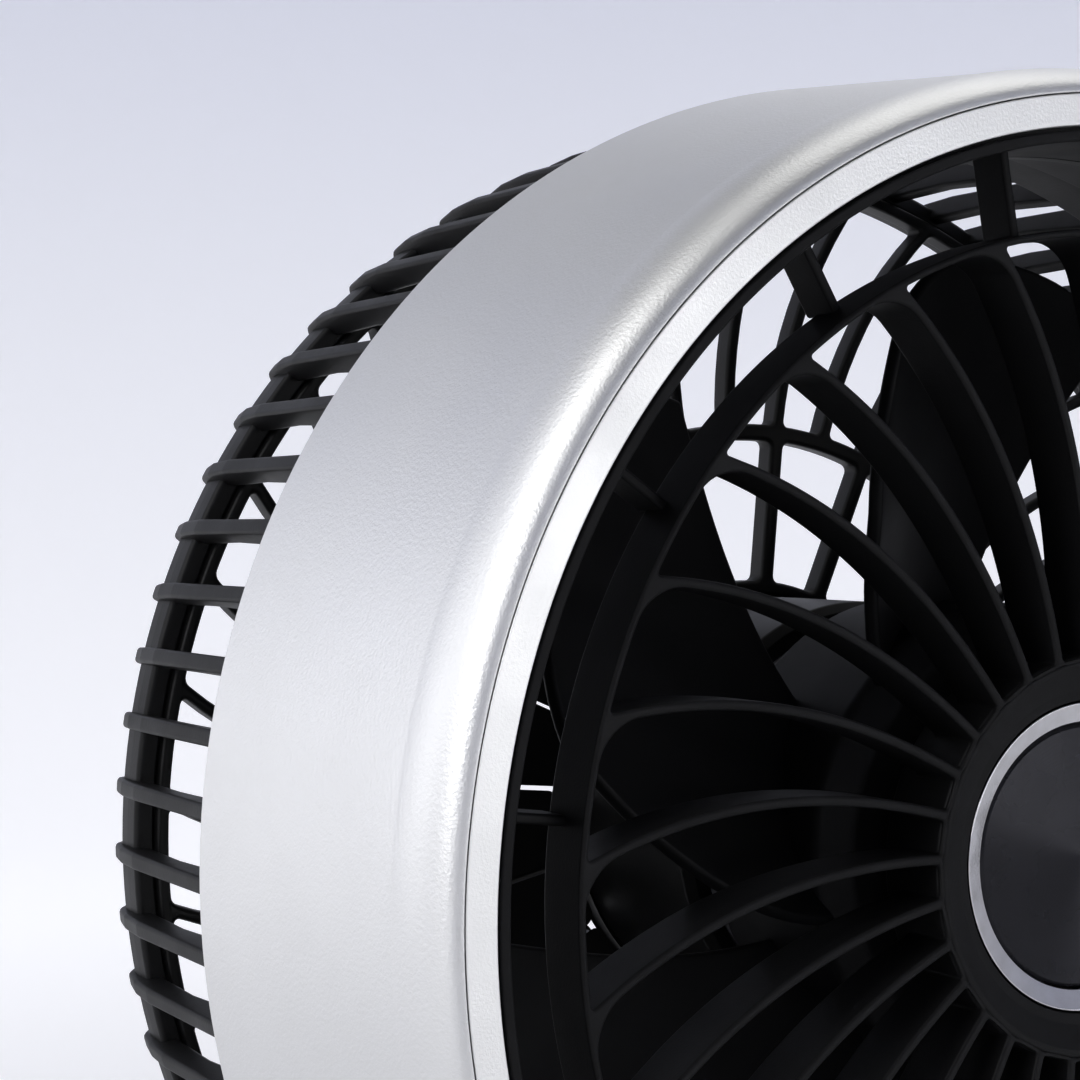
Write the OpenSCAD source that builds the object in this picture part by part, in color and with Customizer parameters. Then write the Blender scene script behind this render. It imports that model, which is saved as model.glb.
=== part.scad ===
// Small round desk fan: a metal drum head that tilts on a short neck above a
// weighted round base. Millimetres, +Z up, origin at the centre of the underside.
// Head pieces are drawn about the fan axis, as seen from the front, and placed by
// at_head(). A depth is measured back from the front plane of the head.

/* [Drum] */
// Radius of the drum's front seam
drum_r = 60; // [50:0.5:75]
// Length of the drum, from the front plane to its rear edge
drum_len = 33; // [29:0.5:40]
// Wall of the drum
drum_wall = 1.6; // [1.2:0.1:2]
// How far the front shoulder swells past the seam
shoulder_rise = 2.6; // [2:0.1:4]
// Length of the rounded front shoulder
shoulder_len = 6; // [4:0.5:8]
// Radius that the drum gains from its shoulder to its rear edge
flare = 2.8; // [1:0.1:4]

/* [Front] */
// Width of the flat ring in front
bezel_w = 2.5; // [2:0.1:4]
// Distance from the grille's rim to its inner ring
outer_gap = 6.5; // [5:0.1:9]
// Depth of the rim's wall
rim_depth = 10; // [9:0.5:12]
// Depth of the inner ring
ring_depth = 4.5; // [3:0.1:6]
// Depth at which the inner ring and the outer ends of the spokes begin
ring_front = 2.4; // [1.5:0.1:3]
// Depth at which the hub collar and the inner ends of the spokes begin
collar_front = 4.9; // [3:0.1:5.5]
// Curved spokes
spoke_count = 30; // [20:1:36]
// Angle that a spoke sweeps between the inner ring and the collar
spoke_sweep = 11.85; // [0:0.05:20]
// Thickness of a spoke
spoke_t = 0.8; // [0.7:0.1:1.5]
// Depth of a spoke
spoke_depth = 5; // [3:0.5:5.5]
// Short ribs between the rim and the inner ring
rib_count = 15; // [10:1:30]
// Angle by which the short ribs crowd towards the top and the bottom
rib_crowding = 4.9; // [0:0.1:6]
// Outer radius of the hub collar
collar_r = 16.2; // [14:0.1:18]
// Outer radius of the bright trim ring in the collar
trim_r = 12.4; // [10:0.1:13]

/* [Impeller] */
// Blades
blade_count = 6; // [3:1:6]
// Space between the blade tips and the liner
tip_gap = 11; // [4:0.5:14]
// Thickness of a blade
blade_t = 1.2; // [1:0.1:2]
// Depth from front to back of a blade
blade_depth = 13; // [9:0.5:13]
// Outer radius of the impeller's hub
hub_r = 20; // [19.5:0.1:24]

/* [Motor] */
// Radius of the shaft
shaft_r = 1.5; // [1.2:0.1:2]
// Outer radius of a bearing
bearing_r = 4; // [3.5:0.1:5]
// Width of a bearing
bearing_w = 4; // [3:0.5:4]
// Teeth of the stator
tooth_count = 9; // [6:3:12]

/* [Rear] */
// Overall depth of the head
head_depth = 58.8; // [54:0.2:72]
// Ribs round the basket
basket_ribs = 70; // [32:1:72]
// Thickness of a basket rib
basket_rib_t = 1.4; // [1.2:0.1:2]
// Curved outer bars of the rear guard
guard_bars = 40; // [24:2:48]
// Radius of the guard's middle ring
guard_ring_r = 35.4; // [28:0.2:38]

/* [Stand] */
// Radius of the base
base_r = 48; // [44:1:60]
// Height of the base, foot ring included
base_h = 16; // [15:0.5:20]
// Wall of the base shell
base_wall = 1.6; // [1.2:0.1:2]
// Height of the tilt pin above the base
pivot_rise = 9; // [8.5:0.5:14]
// Radius of the tilt pin
pin_r = 2.5; // [2:0.1:3]
// Radius of the ears and of the knuckle round the pin
ear_r = 6.5; // [5.5:0.1:8]
// Radius of the power button
button_r = 5.8; // [4:0.1:7]
// Travel of the power button
button_travel = 0.8; // [0.4:0.1:0.9]

/* [Hidden] */
$fn = 96;
tiny = 0.01;      // overshoot of a cut past the face it opens
run_gap = 0.03;   // round a pin or shaft that turns in its hole
fit_gap = 0.15;   // between still pieces that only sit in one another
part_gap = 0.3;   // between pieces that move past one another
seat_gap = 0.05;  // between faces that are held together
press_gap = 0.02; // round a pin or ring that is pressed in
overlap = 0.5;    // how far one solid runs into another that it joins

// Drum
drum_rear_r = drum_r + shoulder_rise + flare;
function drum_out(d) = drum_r + shoulder_rise + flare * (d - shoulder_len) / (drum_len - shoulder_len);
lip_depth = 2.2;

// Front
face_t = 1.2;                                  // thickness of the bezel's face
bezel_skirt = 3.4;
bezel_in = drum_r - bezel_w;
rim_out = bezel_in - part_gap;
rim_wall = 0.9;
rim_in = rim_out - rim_wall;
rim_front = 0.3;
rim_flange_w = 1.2;                            // the flange that the bezel holds down
rim_flange_t = 1.4;
ring_out = rim_in - outer_gap;
ring_t = 0.6;
ring_in = ring_out - ring_t;
short_rib_front = 5;
short_rib_depth = 3.6;
spoke_phase = 104.4;
spoke_steps = 10;
ring_fillet = 2.6;                             // round corner on one side of a spoke's outer end
collar_back = 11.8;
collar_floor = 8.6;
collar_wall = 1.8;
collar_edge = 0.6;
dish_depth = 1.1;                              // fall of the collar's face towards the trim ring
floor_t = 1.6;
cap_front = 6.65;
cap_r = trim_r - 1.65;
cap_sink = 0.1;
cap_edge = 0.25;

// Liner and its screws
liner_out = drum_r + shoulder_rise - drum_wall - 0.1;
liner_wall = 1;
liner_in = liner_out - liner_wall;
liner_rear = drum_len - 6;
flange_t = 1.5;
liner_flange_r = drum_out(liner_rear) - drum_wall - 0.25;
grille_screw_r = 0.8;
grille_screw_circle = rim_in + 2;
grille_boss_r = 1.4;
basket_screw_r = 0.7;
basket_head_r = 0.95;
basket_screw_circle = liner_flange_r - 1.1;
screw_count = 4;
screw_phase = 45;
screw_reach = 4;
screw_head_t = 1.2;

// Impeller
blade_front = 12;
tip_r = liner_in - tip_gap;
hub_front = 14;
hub_rear = 30;
hub_wall = 1.5;
hub_face_t = 2.5;
boss_r = 4;
boss_rise = 1.2;
blade_tip_pitch = 39;                          // angle covered by a blade at its tip
blade_root_pitch = 52;                         // and at the hub
blade_tip_phase = 165;                         // where the front edge meets the tip
blade_root_lead = 30;                          // how far the root runs ahead of the tip
blade_rows = 7;
blade_cols = 9;

// Motor
can_out = hub_r - hub_wall - 0.05;
can_wall = 1.2;
can_front = hub_front + 2.6;
magnet_out = can_out - can_wall;
magnet_t = 1.7;
stator_r = magnet_out - magnet_t - 0.5;
stator_front = 20;
stator_rear = 28;
tube_r = bearing_r + 1;
tube_front = 18.4;
board_front = 30.6;
board_t = 1.2;
mount_front = 33;
mount_t = 2.5;
mount_r = 17.4;
cup_r = 19.5;
cup_wall = 1.5;
cup_front = mount_front + mount_t;
cup_floor_t = 2;
rear_bearing_front = cup_front - 1.4 - bearing_w;
motor_screws = 3;
motor_screw_r = 1;
motor_head_r = 1.9;
motor_screw_circle = 12;

// Rear
basket_ring_out = liner_flange_r;
basket_ring_in = basket_ring_out - 2.1;
basket_ring_rear = drum_len + 1.6;
rib_out = drum_rear_r - 1.2;
rib_start = drum_len + 0.4;
hoop_out = rib_out - 1.4;
hoop_in = hoop_out - 1.7;
hoop_front = head_depth - 5.4;
hoop_rear = head_depth - 1.4;
basket_phase = 1.3;
guard_front = head_depth - 6;
guard_depth = 2.4;
cup_rear = guard_front + guard_depth + 0.2;    // the motor cup stands just proud of the guard
guard_rim_out = hoop_in - 0.1;
guard_rim_in = guard_rim_out - 1.1;
guard_ring_w = 1.6;
guard_hub_w = 1.5;
guard_bar_t = 1.2;
inner_bar_t = 1.5;
guard_sweep = 7;
guard_phase = 84.9;
guard_steps = 5;

// Stand
foot_t = 2;
plate_t = 1.6;
plate_top = foot_t + plate_t;
base_round = 5;
pivot_z = base_h + pivot_rise;
pivot_y = -11;
knuckle_depth = 19;                            // depth in the head of the knuckle's middle
head_y = pivot_y - knuckle_depth;
knuckle_room = 2.2;                            // between the ears and the drum
head_z = pivot_z + ear_r + knuckle_room + drum_out(knuckle_depth);
lug_r = ear_r - 0.6;
lug_half = 4.4;
washer_t = 0.5;
ear_in = lug_half + washer_t + 2 * seat_gap;
ear_t = 4;
ear_out = ear_in + ear_t;
saddle_len = 22;
saddle_t = 4.4;
knuckle_screw_reach = 4.5;
knuckle_screw_r = 1;
knuckle_head_r = 1.9;
pin_head_r = 4.5;
pin_head_t = 2;
neck_r = 15;
neck_foot = 2;
neck_screw_r = 1.2;
neck_screw_circle = 10.5;
post_r = 3;
post_circle = base_r - 8;
plate_screw_r = 1.2;
plate_sink = 0.9;
base_head_r = 2.2;                             // heads of the screws in the base
foot_r = post_circle - post_r - 0.5;
foot_w = 6;
button_y = -(base_r - 12);
button_proud = 0.9;
button_flange = 1.4;
button_flange_t = 1.1;
button_base = base_h - base_wall - part_gap - button_flange_t;
switch_base = base_h - base_wall - 7;          // top of the switch's board
board_len = 16;
board_w = 24;
socket_w = 9;
socket_h = 3.2;
socket_len = 7.3;
socket_z = 7.5;

// ---- helpers ----

// Places what is drawn about the fan axis, front towards the viewer, in the head
module at_head() {
    translate([0, head_y, head_z]) rotate([90, 0, 0]) children();
}

// A solid of revolution from points of [radius, depth]
module turned(points) {
    rotate_extrude() polygon([for (p = points) [p[0], -p[1]]]);
}

// A tube about the fan axis between two depths
module ring(r_in, r_out, front, rear) {
    turned([[r_in, front], [r_out, front], [r_out, rear], [r_in, rear]]);
}

// A flat outline carried back from one depth to another
module carried(front, rear) {
    translate([0, 0, -rear]) linear_extrude(rear - front) children();
}

// A solid cylinder along the fan axis
module rod(r, front, rear) {
    translate([0, 0, -rear]) cylinder(r = r, h = rear - front);
}

// Copies in a circle about the fan axis
module around(count, radius, phase = 0) {
    for (i = [0:count - 1]) rotate([0, 0, phase + i * 360 / count]) translate([radius, 0, 0]) children();
}

function polar(r, a) = [r * cos(a), r * sin(a)];

// Angle of a short rib, counted from the right as seen from the front
function rib_angle(i) = let (even = (i + 0.5) * 360 / rib_count) 90 + even - rib_crowding * sin(2 * even);

// ---- head: shell and front ----

module drum_shell() {
    shoulder = [for (a = [0:11.25:90]) [drum_r + shoulder_rise * sin(a), shoulder_len * (1 - cos(a))]];
    color("silver") difference() {
        at_head() turned(concat(shoulder, [
            [drum_rear_r, drum_len],
            [drum_rear_r - drum_wall, drum_len],
            [drum_r + shoulder_rise - drum_wall, shoulder_len],
            [drum_r, lip_depth]
        ]));
        knuckle_screw_places() cylinder(r = knuckle_screw_r + fit_gap, h = head_z);
    }
}

module front_bezel() {
    color("gainsboro") at_head() turned([
        [bezel_in, 0], [drum_r - fit_gap, 0], [drum_r - fit_gap, bezel_skirt],
        [drum_r - fit_gap - 1.1, bezel_skirt], [drum_r - fit_gap - 1.1, face_t], [bezel_in, face_t]
    ]);
}

// Angle by which a spoke trails its outer end at a radius
function spoke_lag(r) = spoke_sweep * (1 - pow(max(0, r - collar_r) / (ring_in - collar_r), 1.5));
// Room that the round corner adds to one side of a spoke near the ring
function corner(s) = s >= ring_fillet ? 0
    : ring_fillet - sqrt(ring_fillet * ring_fillet - pow(ring_fillet - s, 2));

module spoke_outline() {
    near = [for (s = [0, 0.06, 0.2, 0.45, 0.72, 1]) ring_in - s * ring_fillet];
    inner_end = ring_in - ring_fillet;
    far = [for (i = [1:spoke_steps]) inner_end - (inner_end - collar_r) * i / spoke_steps];
    stations = concat([ring_in + ring_t / 2], near, far, [collar_r - overlap]);
    last = len(stations) - 1;
    half_t = spoke_t / 2;
    side_a = [for (r = stations)
        polar(r, asin((half_t + corner(max(0, ring_in - r))) / r) - spoke_lag(min(r, ring_in)))];
    side_b = [for (i = [last:-1:0])
        polar(stations[i], -asin(half_t / stations[i]) - spoke_lag(min(stations[i], ring_in)))];
    polygon(concat(side_a, side_b));
}

module front_grille() {
    color([0.12, 0.12, 0.13]) at_head() difference() {
        union() {
            // rim, with the flange that the bezel holds down
            turned([
                [rim_in, rim_front], [rim_out, rim_front], [rim_out, face_t],
                [rim_out + rim_flange_w, face_t], [rim_out + rim_flange_w, face_t + rim_flange_t],
                [rim_out, face_t + rim_flange_t], [rim_out, rim_depth], [rim_in, rim_depth]
            ]);
            ring(ring_in, ring_out, ring_front, ring_front + ring_depth);
            for (i = [0:rib_count - 1]) rotate([0, 0, rib_angle(i)])
                translate([ring_out - ring_t / 2, -spoke_t / 2, -short_rib_front - short_rib_depth])
                    cube([outer_gap + ring_t, spoke_t, short_rib_depth]);
            intersection() {
                around(spoke_count, 0, spoke_phase)
                    carried(ring_front, collar_front + spoke_depth) spoke_outline();
                turned([
                    [0, collar_front], [collar_r, collar_front], [ring_in, ring_front],
                    [ring_out, ring_front], [ring_out, ring_front + ring_depth],
                    [ring_in, ring_front + spoke_depth], [collar_r, collar_front + spoke_depth],
                    [0, collar_front + spoke_depth]
                ]);
            }
            around(screw_count, grille_screw_circle, screw_phase)
                rod(grille_boss_r, bezel_skirt + fit_gap, rim_depth);
            // hub collar, a shallow dish with a solid floor
            turned([
                [0, collar_floor], [trim_r + fit_gap, collar_floor],
                [trim_r + fit_gap, collar_front + dish_depth],
                [collar_r - collar_edge, collar_front], [collar_r, collar_front + collar_edge],
                [collar_r, collar_back], [collar_r - collar_wall, collar_back],
                [collar_r - collar_wall, collar_floor + floor_t], [0, collar_floor + floor_t]
            ]);
        }
        around(screw_count, grille_screw_circle, screw_phase)
            rod(grille_screw_r + run_gap, rim_depth - screw_reach - 1, rim_depth + tiny);
    }
}

module hub_trim_ring() {
    color("gainsboro") at_head() turned([
        [trim_r, collar_front + dish_depth], [cap_r, cap_front],
        [cap_r, collar_floor], [trim_r, collar_floor]
    ]);
}

module hub_cap() {
    color([0.3, 0.3, 0.32]) at_head() turned([
        [0, cap_front + cap_sink], [cap_r - seat_gap - cap_edge, cap_front + cap_sink],
        [cap_r - seat_gap, cap_front + cap_sink + cap_edge], [cap_r - seat_gap, collar_floor],
        [0, collar_floor]
    ]);
}

module grille_screws() {
    color("dimgray") at_head() around(screw_count, grille_screw_circle, screw_phase) union() {
        rod(grille_screw_r, rim_depth - screw_reach, rim_depth + flange_t);
        rod(grille_boss_r - run_gap, rim_depth + flange_t, rim_depth + flange_t + screw_head_t);
    }
}

module drum_liner() {
    color([0.1, 0.1, 0.11]) difference() {
        at_head() difference() {
            union() {
                ring(liner_in, liner_out, rim_depth, liner_rear);
                ring(rim_in, liner_out, rim_depth, rim_depth + flange_t);
                ring(liner_in, liner_flange_r, liner_rear - flange_t, liner_rear);
            }
            around(screw_count, grille_screw_circle, screw_phase)
                rod(grille_screw_r + fit_gap, rim_depth - tiny, rim_depth + flange_t + tiny);
            around(screw_count, basket_screw_circle, screw_phase)
                rod(basket_screw_r + fit_gap, liner_rear - flange_t - tiny, liner_rear + tiny);
        }
        knuckle_screw_places() cylinder(r = knuckle_head_r + part_gap, h = head_z);
    }
}

// ---- rotor ----

// A blade covers less of the circle, and runs further back round it, towards its tip
function blade_part(r) = (r - hub_r) / (tip_r - hub_r);
function blade_edge(r) = blade_tip_phase + blade_root_lead * pow(1 - blade_part(r), 1.15);
function blade_span(r) = blade_root_pitch + (blade_tip_pitch - blade_root_pitch) * blade_part(r);
function blade_level(t) = blade_front + blade_t / 2 + (blade_depth - blade_t) * (t + 0.1 * sin(180 * t));
function tip_cut(t) = 3.2 * pow(abs(2 * t - 1), 5);

module blade() {
    rows = [for (i = [0:blade_rows - 1]) hub_r - 0.8 + (tip_r - hub_r + 0.8) * i / (blade_rows - 1)];
    grid = [for (i = [0:blade_rows - 1]) for (j = [0:blade_cols - 1])
        let (t = j / (blade_cols - 1), share = i / (blade_rows - 1), r = rows[i] - tip_cut(t) * share * share,
             root = max(0, 1 - blade_part(r) * 2.5), edge = blade_edge(r) - t * blade_span(r),
             d = blade_level(t) + root * 2.6 * (1 - t))
        [r * cos(edge), r * sin(edge), -d]];
    count = blade_rows * blade_cols;
    points = concat([for (p = grid) [p[0], p[1], p[2] + blade_t / 2]],
                    [for (p = grid) [p[0], p[1], p[2] - blade_t / 2]]);
    function at(i, j) = i * blade_cols + j;
    fronts = [for (i = [0:blade_rows - 2]) for (j = [0:blade_cols - 2]) each [
        [at(i, j), at(i + 1, j), at(i + 1, j + 1)], [at(i, j), at(i + 1, j + 1), at(i, j + 1)]]];
    backs = [for (f = fronts) [f[0] + count, f[2] + count, f[1] + count]];
    border = concat([for (j = [0:blade_cols - 1]) at(0, j)],
                    [for (i = [1:blade_rows - 1]) at(i, blade_cols - 1)],
                    [for (j = [blade_cols - 2:-1:0]) at(blade_rows - 1, j)],
                    [for (i = [blade_rows - 2:-1:1]) at(i, 0)]);
    steps = len(border);
    sides = [for (k = [0:steps - 1]) let (a = border[k], b = border[(k + 1) % steps]) each [
        [a, b, b + count], [a, b + count, a + count]]];
    polyhedron(points, concat(fronts, backs, sides));
}

module impeller() {
    color([0.14, 0.14, 0.15]) at_head() union() {
        turned([
            [shaft_r + press_gap, hub_front - boss_rise], [boss_r - 0.5, hub_front - boss_rise],
            [boss_r, hub_front], [hub_r - hub_face_t, hub_front],
            [hub_r - 0.8, hub_front + 0.7], [hub_r, hub_front + hub_face_t], [hub_r, hub_rear],
            [hub_r - hub_wall, hub_rear], [hub_r - hub_wall, hub_front + hub_face_t],
            [shaft_r + press_gap, hub_front + hub_face_t]
        ]);
        for (i = [0:blade_count - 1]) rotate([0, 0, i * 360 / blade_count]) blade();
    }
}

module rotor_can() {
    color("gray") at_head() turned([
        [shaft_r + press_gap, can_front], [can_out, can_front], [can_out, hub_rear],
        [can_out - can_wall, hub_rear], [can_out - can_wall, can_front + can_wall],
        [shaft_r + press_gap, can_front + can_wall]
    ]);
}

module magnet_ring() {
    color([0.22, 0.2, 0.2]) at_head()
        ring(magnet_out - magnet_t, magnet_out - press_gap, stator_front - 1, stator_rear + 1);
}

module motor_shaft() {
    color("silver") at_head() rod(shaft_r, hub_front - 1, cup_front - 0.2);
}

module shaft_clip() {
    color("dimgray") at_head() ring(shaft_r + press_gap, shaft_r + 1.2, cup_front - 1, cup_front - 0.5);
}

// ---- motor, still pieces ----

module stator_core() {
    shoe = 1.2;
    tooth_w = 2.2;
    hub = tube_r + 2;
    color([0.45, 0.45, 0.48]) at_head() carried(stator_front, stator_rear) difference() {
        union() {
            circle(r = hub);
            around(tooth_count, hub - overlap)
                translate([0, -tooth_w / 2]) square([stator_r - shoe - hub + 2 * overlap, tooth_w]);
            intersection() {
                difference() {
                    circle(r = stator_r);
                    circle(r = stator_r - shoe);
                }
                around(tooth_count, stator_r / 2)
                    square([stator_r, stator_r * 4.2 / tooth_count], center = true);
            }
        }
        circle(r = tube_r + press_gap);
    }
}

module stator_coils() {
    start = tube_r + 2.3;
    reach = stator_r - 1.4 - start;
    coil_w = 4.2;
    slot_w = 2.3;
    height = stator_rear - stator_front;
    color([0.72, 0.4, 0.2]) at_head() around(tooth_count, start) difference() {
        translate([0, -coil_w / 2, -stator_rear - 1]) cube([reach, coil_w, height + 2]);
        translate([-tiny, -slot_w / 2, -stator_rear - seat_gap])
            cube([reach + 1, slot_w, height + 2 * seat_gap]);
    }
}

module front_bearing() {
    color("silver") at_head()
        ring(shaft_r + run_gap, bearing_r - press_gap, tube_front + 0.2, tube_front + 0.2 + bearing_w);
}

module rear_bearing() {
    rear = rear_bearing_front + bearing_w;
    color("silver") at_head() ring(shaft_r + run_gap, bearing_r - press_gap, rear_bearing_front, rear);
}

module motor_mount() {
    color([0.6, 0.6, 0.62]) at_head() difference() {
        turned([
            [bearing_r, tube_front], [tube_r, tube_front], [tube_r, mount_front],
            [mount_r, mount_front], [mount_r, cup_front], [bearing_r, cup_front],
            [bearing_r, rear_bearing_front], [bearing_r - 0.8, rear_bearing_front],
            [bearing_r - 0.8, tube_front + 0.2 + bearing_w], [bearing_r, tube_front + 0.2 + bearing_w]
        ]);
        around(motor_screws, motor_screw_circle, 90)
            rod(motor_screw_r + run_gap, mount_front - tiny, cup_front + tiny);
    }
}

module motor_board() {
    color("darkgreen") at_head() ring(tube_r + fit_gap, mount_r - 1.4, board_front, board_front + board_t);
}

module motor_screws() {
    color("dimgray") at_head() around(motor_screws, motor_screw_circle, 90) union() {
        rod(motor_screw_r, mount_front + 0.3, cup_front + cup_floor_t);
        rod(motor_head_r, cup_front + cup_floor_t, cup_front + cup_floor_t + screw_head_t);
    }
}

module motor_cover() {
    cover_t = 1.4;
    cover_r = cup_r - cup_wall - fit_gap;
    color([0.1, 0.1, 0.11]) at_head() turned([
        [0, cup_rear], [cover_r, cup_rear], [cover_r, cup_rear - 3],
        [cover_r - cover_t, cup_rear - 3], [cover_r - cover_t, cup_rear - cover_t], [0, cup_rear - cover_t]
    ]);
}

// ---- rear ----

// Outer guard bars lean further round the circle towards the rim
function guard_lag(r) = guard_sweep * pow((r - guard_ring_r) / (guard_rim_in - guard_ring_r), 1.7);

module guard_bar() {
    half_t = guard_bar_t / 2;
    stations = [for (i = [0:guard_steps])
        guard_ring_r + (guard_rim_in + overlap - guard_ring_r) * i / guard_steps];
    side_a = [for (r = stations) polar(r, asin(half_t / r) - guard_lag(r))];
    side_b = [for (i = [guard_steps:-1:0])
        polar(stations[i], -asin(half_t / stations[i]) - guard_lag(stations[i]))];
    polygon(concat(side_a, side_b));
}

module rear_guard() {
    rear = guard_front + guard_depth;
    color([0.1, 0.1, 0.11]) at_head() union() {
        ring(guard_rim_in, guard_rim_out, guard_front, rear + 1);
        ring(guard_ring_r - guard_ring_w / 2, guard_ring_r + guard_ring_w / 2, guard_front, rear);
        ring(cup_r + seat_gap, cup_r + guard_hub_w, guard_front, rear);
        around(guard_bars, 0, guard_phase) carried(guard_front, rear) guard_bar();
        around(guard_bars / 2, 0, guard_phase) translate([cup_r + 0.5, -inner_bar_t / 2, -rear])
            cube([guard_ring_r - cup_r - 0.5, inner_bar_t, guard_depth]);
    }
}

// Cup that holds the motor, closed in front by the floor that carries it
module motor_housing() {
    hole_r = tube_r + 0.5;
    chamfer = 0.8;
    color([0.1, 0.1, 0.11]) at_head() difference() {
        turned([
            [hole_r, cup_front], [cup_r - chamfer, cup_front], [cup_r, cup_front + chamfer],
            [cup_r, cup_rear], [cup_r - cup_wall, cup_rear],
            [cup_r - cup_wall, cup_front + cup_floor_t], [hole_r, cup_front + cup_floor_t]
        ]);
        around(motor_screws, motor_screw_circle, 90)
            rod(motor_screw_r + fit_gap, cup_front - tiny, cup_front + cup_floor_t + tiny);
    }
}

module rear_basket() {
    color([0.13, 0.13, 0.14]) at_head() difference() {
        union() {
            ring(basket_ring_in, basket_ring_out, liner_rear, basket_ring_rear);
            ring(hoop_in, hoop_out, hoop_front, hoop_rear);
            around(basket_ribs, 0, basket_phase)
                translate([0, basket_rib_t / 2, 0]) rotate([90, 0, 0]) linear_extrude(basket_rib_t) polygon([
                    [basket_ring_out - 1.6, -rib_start], [rib_out, -rib_start],
                    [rib_out - 0.2, 7.8 - head_depth], [rib_out - 0.6, 3.8 - head_depth],
                    [rib_out - 1.3, 0.8 - head_depth], [rib_out - 2.1, -head_depth],
                    [hoop_in + 0.4, -head_depth], [hoop_in + 0.4, -hoop_front]
                ]);
        }
        around(screw_count, basket_screw_circle, screw_phase)
            rod(basket_screw_r + run_gap, liner_rear - tiny, liner_rear + screw_reach + 1);
    }
}

module basket_screws() {
    color("dimgray") at_head() around(screw_count, basket_screw_circle, screw_phase) union() {
        rod(basket_head_r, liner_rear - flange_t - 0.9, liner_rear - flange_t);
        rod(basket_screw_r, liner_rear - flange_t, liner_rear + screw_reach);
    }
}

// ---- tilt joint ----

// Stands children upright at the two screws that hold the knuckle to the drum
module knuckle_screw_places() {
    for (side = [-1, 1]) translate([0, pivot_y + side * knuckle_screw_reach, pivot_z + ear_r - 1]) children();
}

module tilt_knuckle() {
    color([0.12, 0.12, 0.13]) difference() {
        union() {
            translate([-lug_half, pivot_y, pivot_z]) rotate([0, 90, 0]) cylinder(r = lug_r, h = 2 * lug_half);
            translate([-lug_half, pivot_y - lug_r, pivot_z])
                cube([2 * lug_half, 2 * lug_r, ear_r + knuckle_room]);
            translate([-lug_half, pivot_y - saddle_len / 2, pivot_z + ear_r + knuckle_room - saddle_t])
                cube([2 * lug_half, saddle_len, saddle_t + 2]);
        }
        translate([-lug_half - 1, pivot_y, pivot_z]) rotate([0, 90, 0])
            cylinder(r = pin_r + run_gap, h = 2 * lug_half + 2);
        // seat that follows the drum
        at_head() turned([
            [0, shoulder_len], [drum_out(shoulder_len) + seat_gap, shoulder_len],
            [drum_out(drum_len + 6) + seat_gap, drum_len + 6], [0, drum_len + 6]
        ]);
        knuckle_screw_places() cylinder(r = knuckle_screw_r + run_gap, h = 20);
    }
}

module knuckle_screws() {
    // the drum's wall is highest at the front edge of the front screw's head
    front = knuckle_depth - knuckle_screw_reach - knuckle_head_r;
    seat = 1 + knuckle_room + drum_wall + drum_out(knuckle_depth) - drum_out(front) + seat_gap;
    color("dimgray") knuckle_screw_places() union() {
        translate([0, 0, part_gap]) cylinder(r = knuckle_screw_r, h = seat - part_gap);
        translate([0, 0, seat]) cylinder(r = knuckle_head_r, h = screw_head_t);
    }
}

module tilt_pin() {
    color("silver") translate([-ear_out, pivot_y, pivot_z]) rotate([0, 90, 0]) union() {
        cylinder(r = pin_r, h = 2 * ear_out + pin_head_t - 0.4);
        translate([0, 0, -pin_head_t]) cylinder(r = pin_head_r, h = pin_head_t);
    }
}

module pin_nut() {
    color("silver") translate([ear_out, pivot_y, pivot_z]) rotate([0, 90, 0]) difference() {
        cylinder(r = pin_head_r, h = pin_head_t);
        translate([0, 0, -tiny]) cylinder(r = pin_r + press_gap, h = pin_head_t - 0.4 + tiny);
    }
}

module friction_washers() {
    place = lug_half + seat_gap + washer_t / 2;
    color("wheat") for (side = [-1, 1])
        translate([side * place, pivot_y, pivot_z]) rotate([0, 90, 0]) difference() {
            cylinder(r = ear_r - 1, h = washer_t, center = true);
            cylinder(r = pin_r + run_gap, h = washer_t + 1, center = true);
        }
}

module neck_screw_places() {
    for (a = [30:120:270])
        translate([neck_screw_circle * cos(a), pivot_y + neck_screw_circle * sin(a), 0]) children();
}

module neck() {
    color([0.12, 0.12, 0.13]) difference() {
        union() {
            translate([0, pivot_y, base_h]) cylinder(r1 = neck_r, r2 = neck_r - 1.5, h = neck_foot);
            for (side = [-1, 1]) translate([side * (ear_in + ear_t / 2), pivot_y, 0]) {
                translate([0, 0, pivot_z]) rotate([0, 90, 0]) cylinder(r = ear_r, h = ear_t, center = true);
                translate([-ear_t / 2, -ear_r, base_h + neck_foot - 0.5])
                    cube([ear_t, 2 * ear_r, pivot_rise - neck_foot + 0.5]);
            }
        }
        translate([-ear_out - 1, pivot_y, pivot_z]) rotate([0, 90, 0])
            cylinder(r = pin_r + press_gap, h = 2 * ear_out + 2);
        neck_screw_places() translate([0, 0, base_h - tiny])
            cylinder(r = neck_screw_r + run_gap, h = neck_foot - 0.5);
    }
}

module neck_screws() {
    color("dimgray") neck_screw_places() union() {
        translate([0, 0, base_h - base_wall]) cylinder(r = neck_screw_r, h = base_wall + neck_foot - 0.7);
        translate([0, 0, base_h - base_wall - screw_head_t]) cylinder(r = base_head_r, h = screw_head_t);
    }
}

// ---- base ----

module post_places() {
    for (a = [45:90:315]) translate([post_circle * cos(a), post_circle * sin(a), 0]) children();
}

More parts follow.
